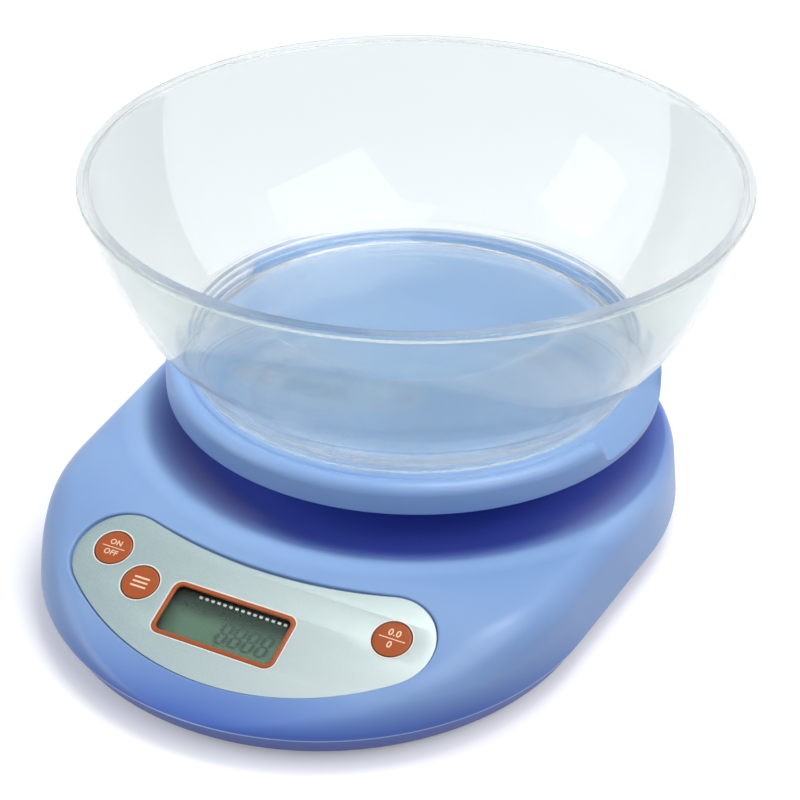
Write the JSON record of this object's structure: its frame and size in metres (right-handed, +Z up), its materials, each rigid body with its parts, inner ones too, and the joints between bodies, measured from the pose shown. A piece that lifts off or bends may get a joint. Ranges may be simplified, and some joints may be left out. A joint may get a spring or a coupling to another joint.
{
  "type": "digital kitchen scale",
  "caption": "Low blue scale with a sloping control panel, a round weighing tray on a load cell, and a lift-off clear bowl.",
  "frame": {"origin": "on the floor, straight under the axis of the round weighing tray", "axes": "+Z up, +Y towards the back, so the control panel faces -Y and up; +X to the right"},
  "size_m": [0.2062, 0.2518, 0.1155],
  "materials": {
    "body_blue": "satin moulded blue",
    "base_blue": "satin moulded blue, a little darker",
    "foot_rubber": "matt",
    "plated_steel": "zinc plated",
    "silver_panel": "printed silver film",
    "orange_plastic": "satin",
    "clear_lens": "polished clear",
    "lcd_glass": "matt behind a polariser",
    "inner_plastic": "plain moulded",
    "contact_rubber": "matt",
    "board": "solder mask",
    "board_parts": "matt",
    "switch_metal": "plated",
    "cell_aluminium": "milled",
    "potting": "soft",
    "lead_jacket": "soft",
    "battery_can": "plain sleeve",
    "clear_bowl": "polished clear"
  },
  "bodies": {
    "housing": {"top_cover": "body_blue", "bottom_cover": "base_blue", "rubber_feet": "foot_rubber", "housing_screws": "plated_steel", "panel_overlay": "silver_panel", "display_frame": "orange_plastic", "display_lens": "clear_lens", "lcd_glass": "lcd_glass", "lcd_holder": "inner_plastic", "zebra_strips": "contact_rubber", "main_board": "board", "board_parts": "board_parts", "board_screws": "plated_steel", "tact_switches": "board_parts", "load_cell": "cell_aluminium", "gauge_potting": "potting", "base_spacer": "plated_steel", "base_bolts": "plated_steel", "cell_lead": "lead_jacket", "battery_leads": "lead_jacket", "battery_a": "battery_can", "battery_b": "battery_can", "battery_contacts": "plated_steel", "battery_springs": "plated_steel"},
    "platform": {"carrier_spacer": "plated_steel", "carrier": "inner_plastic", "carrier_bolts": "plated_steel", "tray": "body_blue"},
    "bowl": {"bowl": "clear_bowl"},
    "on_off": {"on_off_key": "orange_plastic", "on_off_plunger": "switch_metal"},
    "mode": {"mode_key": "orange_plastic", "mode_plunger": "switch_metal"},
    "tare": {"tare_key": "orange_plastic", "tare_plunger": "switch_metal"},
    "door": {"battery_door": "base_blue"}
  },
  "joints": [
    {"name": "platform_press", "type": "slide", "parent": "housing", "child": "platform", "axis": [0, 0, 1], "range_m": [-0.001, 0], "stiffness_N_per_m": 25000, "deforming": ["load_cell", "gauge_potting"]},
    {"name": "bowl_lift", "type": "slide", "parent": "platform", "child": "bowl", "axis": [0, 0, 1], "range_m": [0, 0.12]},
    {"name": "on_off_press", "type": "slide", "parent": "housing", "child": "on_off", "axis": [0, -0.3387, 0.9409], "range_m": [-0.0005, 0], "stiffness_N_per_m": 3000},
    {"name": "mode_press", "type": "slide", "parent": "housing", "child": "mode", "axis": [0, -0.3387, 0.9409], "range_m": [-0.0005, 0], "stiffness_N_per_m": 3000},
    {"name": "tare_press", "type": "slide", "parent": "housing", "child": "tare", "axis": [0, -0.3387, 0.9409], "range_m": [-0.0005, 0], "stiffness_N_per_m": 3000},
    {"name": "door_swing", "type": "hinge", "parent": "housing", "child": "door", "pos_m": [0, 0.0416, 0.0033], "axis": [-1, 0, 0], "range_deg": [0, 90]}
  ]
}
